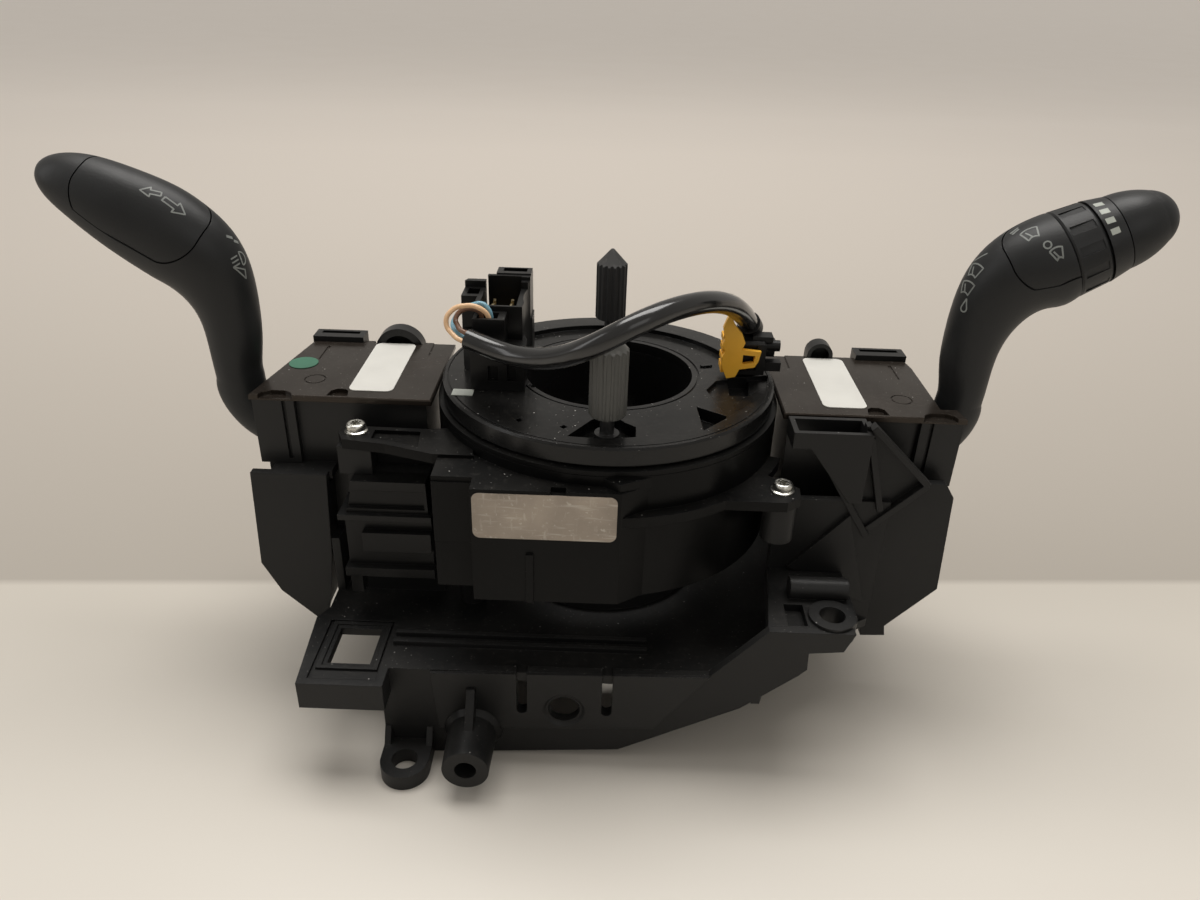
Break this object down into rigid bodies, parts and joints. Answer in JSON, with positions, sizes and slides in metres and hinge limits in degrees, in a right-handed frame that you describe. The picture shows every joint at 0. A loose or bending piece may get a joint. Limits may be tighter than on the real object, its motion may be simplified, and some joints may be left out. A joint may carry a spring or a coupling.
{
  "type": "combination stalk switch",
  "caption": "Steering-column switch with turn-signal and wiper stalks, a turning clock-spring rotor with splined drive pins, and a moulded carrier.",
  "frame": {"origin": "on the steering axis, at the rotor's front face", "axes": "+Z along the steering axis towards the driver, +Y towards 12 o'clock of the column, +X towards the driver's right"},
  "size_m": [0.3167, 0.128, 0.1585],
  "materials": {
    "carrier_plastic": "moulded black, fine grain",
    "stator_plastic": "moulded black",
    "rotor_plastic": "moulded black, slightly glossy",
    "connector_plastic": "moulded black",
    "case_plastic": "moulded black",
    "cover_plastic": "glossy warm black",
    "sleeve_plastic": "black, ribbed",
    "stalk_plastic": "soft-touch dark grey",
    "lead_sheath": "glossy black sheath",
    "orange_insulation": "pale orange",
    "brown_insulation": "brown",
    "blue_insulation": "light blue",
    "lock_yellow": "yellow",
    "terminal_brass": "tinned brass",
    "pin_steel": "plain steel",
    "zinc_screws": "yellow passivated zinc",
    "metal_label": "metallised film, blank",
    "paper_label": "white label, blank",
    "marker_green": "green marker dot",
    "ribbon_film": "flat flexible cable",
    "circuit_board": "green board",
    "gear_plastic": "natural acetal",
    "magnet": "sintered magnet"
  },
  "bodies": {
    "housing": {"carrier": "carrier_plastic", "carrier_ear": "carrier_plastic", "carrier_boss": "carrier_plastic", "carrier_shelf": "carrier_plastic", "side_connector": "connector_plastic", "side_connector_pins": "terminal_brass", "stator_housing": "stator_plastic", "stator_cover": "stator_plastic", "stator_partition": "stator_plastic", "ribbon_cable": "ribbon_film", "sensor_board": "circuit_board", "stator_screws": "zinc_screws", "front_label": "metal_label", "marker_dot": "marker_green", "left_module_case": "case_plastic", "left_module_cover": "cover_plastic", "left_module_label": "paper_label", "left_detent_cam": "gear_plastic", "left_switch_board": "circuit_board", "right_module_case": "case_plastic", "right_module_cover": "cover_plastic", "right_module_label": "paper_label", "right_detent_cam": "gear_plastic", "right_switch_board": "circuit_board"},
    "rotor": {"rotor_disc": "rotor_plastic", "rotor_hub": "rotor_plastic", "front_pin_sleeve": "sleeve_plastic", "rear_pin_sleeve": "sleeve_plastic", "front_pin_core": "pin_steel", "rear_pin_core": "pin_steel", "rotor_connector": "connector_plastic", "rotor_terminals": "terminal_brass", "airbag_lead": "lead_sheath", "orange_wire": "orange_insulation", "brown_wire": "brown_insulation", "blue_wire": "blue_insulation", "airbag_plug": "connector_plastic", "tape_strip": "metal_label", "sensor_ring_gear": "gear_plastic"},
    "plug_lock": {"plug_lock": "lock_yellow"},
    "sensor_gear_small": {"sensor_gear_small": "gear_plastic"},
    "sensor_gear_large": {"sensor_gear_large": "gear_plastic"},
    "left_yoke": {"left_yoke": "gear_plastic", "left_lever_pin": "pin_steel", "left_magnet": "magnet"},
    "left_lever": {"left_lever": "stalk_plastic", "left_grip_panel": "stalk_plastic", "left_plunger": "gear_plastic", "left_plunger_spring": "pin_steel"},
    "right_yoke": {"right_yoke": "gear_plastic", "right_lever_pin": "pin_steel", "right_magnet": "magnet"},
    "right_lever": {"right_lever": "stalk_plastic", "right_grip_panel": "stalk_plastic", "wiper_band": "stalk_plastic", "right_plunger": "gear_plastic", "right_plunger_spring": "pin_steel"},
    "wiper_ring": {"wiper_ring": "stalk_plastic"},
    "wiper_end_cap": {"wiper_end_cap": "stalk_plastic"}
  },
  "joints": [
    {"name": "rotor_turn", "type": "hinge", "parent": "housing", "child": "rotor", "pos_m": [0, 0, 0], "axis": [0, 0, 1], "range_deg": [-900, 900]},
    {"name": "small_gear_turn", "type": "hinge", "parent": "housing", "child": "sensor_gear_small", "pos_m": [-0.03187, -0.0184, -0.037], "axis": [0, 0, 1], "range_deg": [-4275, 4275]},
    {"name": "large_gear_turn", "type": "hinge", "parent": "housing", "child": "sensor_gear_large", "pos_m": [-0.01415, -0.03484, -0.037], "axis": [0, 0, 1], "range_deg": [-3800, 3800]},
    {"name": "plug_lock_slide", "type": "slide", "parent": "rotor", "child": "plug_lock", "axis": [-1, 0, 0], "range_m": [0, 0.0025]},
    {"name": "turn_signal_swing", "type": "hinge", "parent": "housing", "child": "left_yoke", "pos_m": [-0.076, 0.001, -0.021], "axis": [0, 0, 1], "range_deg": [-8, 8]},
    {"name": "flash_pull", "type": "hinge", "parent": "left_yoke", "child": "left_lever", "pos_m": [-0.076, 0.001, -0.021], "axis": [0, 1, 0], "range_deg": [0, 5], "stiffness_Nm_per_rad": 3.3, "springref_deg": -1.15},
    {"name": "wiper_swing", "type": "hinge", "parent": "housing", "child": "right_yoke", "pos_m": [0.076, 0.001, -0.021], "axis": [0, 0, 1], "range_deg": [-8, 8]},
    {"name": "washer_pull", "type": "hinge", "parent": "right_yoke", "child": "right_lever", "pos_m": [0.076, 0.001, -0.021], "axis": [0, -1, 0], "range_deg": [0, 5], "stiffness_Nm_per_rad": 3.3, "springref_deg": -1.15},
    {"name": "wiper_ring_turn", "type": "hinge", "parent": "right_lever", "child": "wiper_ring", "pos_m": [0.127, 0.001, 0.04], "axis": [0.891, 0, 0.454], "range_deg": [-36, 36]},
    {"name": "wiper_cap_turn", "type": "hinge", "parent": "right_lever", "child": "wiper_end_cap", "pos_m": [0.127, 0.001, 0.04], "axis": [0.891, 0, 0.454], "range_deg": [-22, 22]}
  ],
  "couplings": [
    {"joint": "small_gear_turn", "follows": "rotor_turn", "ratio": -4.75},
    {"joint": "large_gear_turn", "follows": "rotor_turn", "ratio": -4.2222}
  ]
}
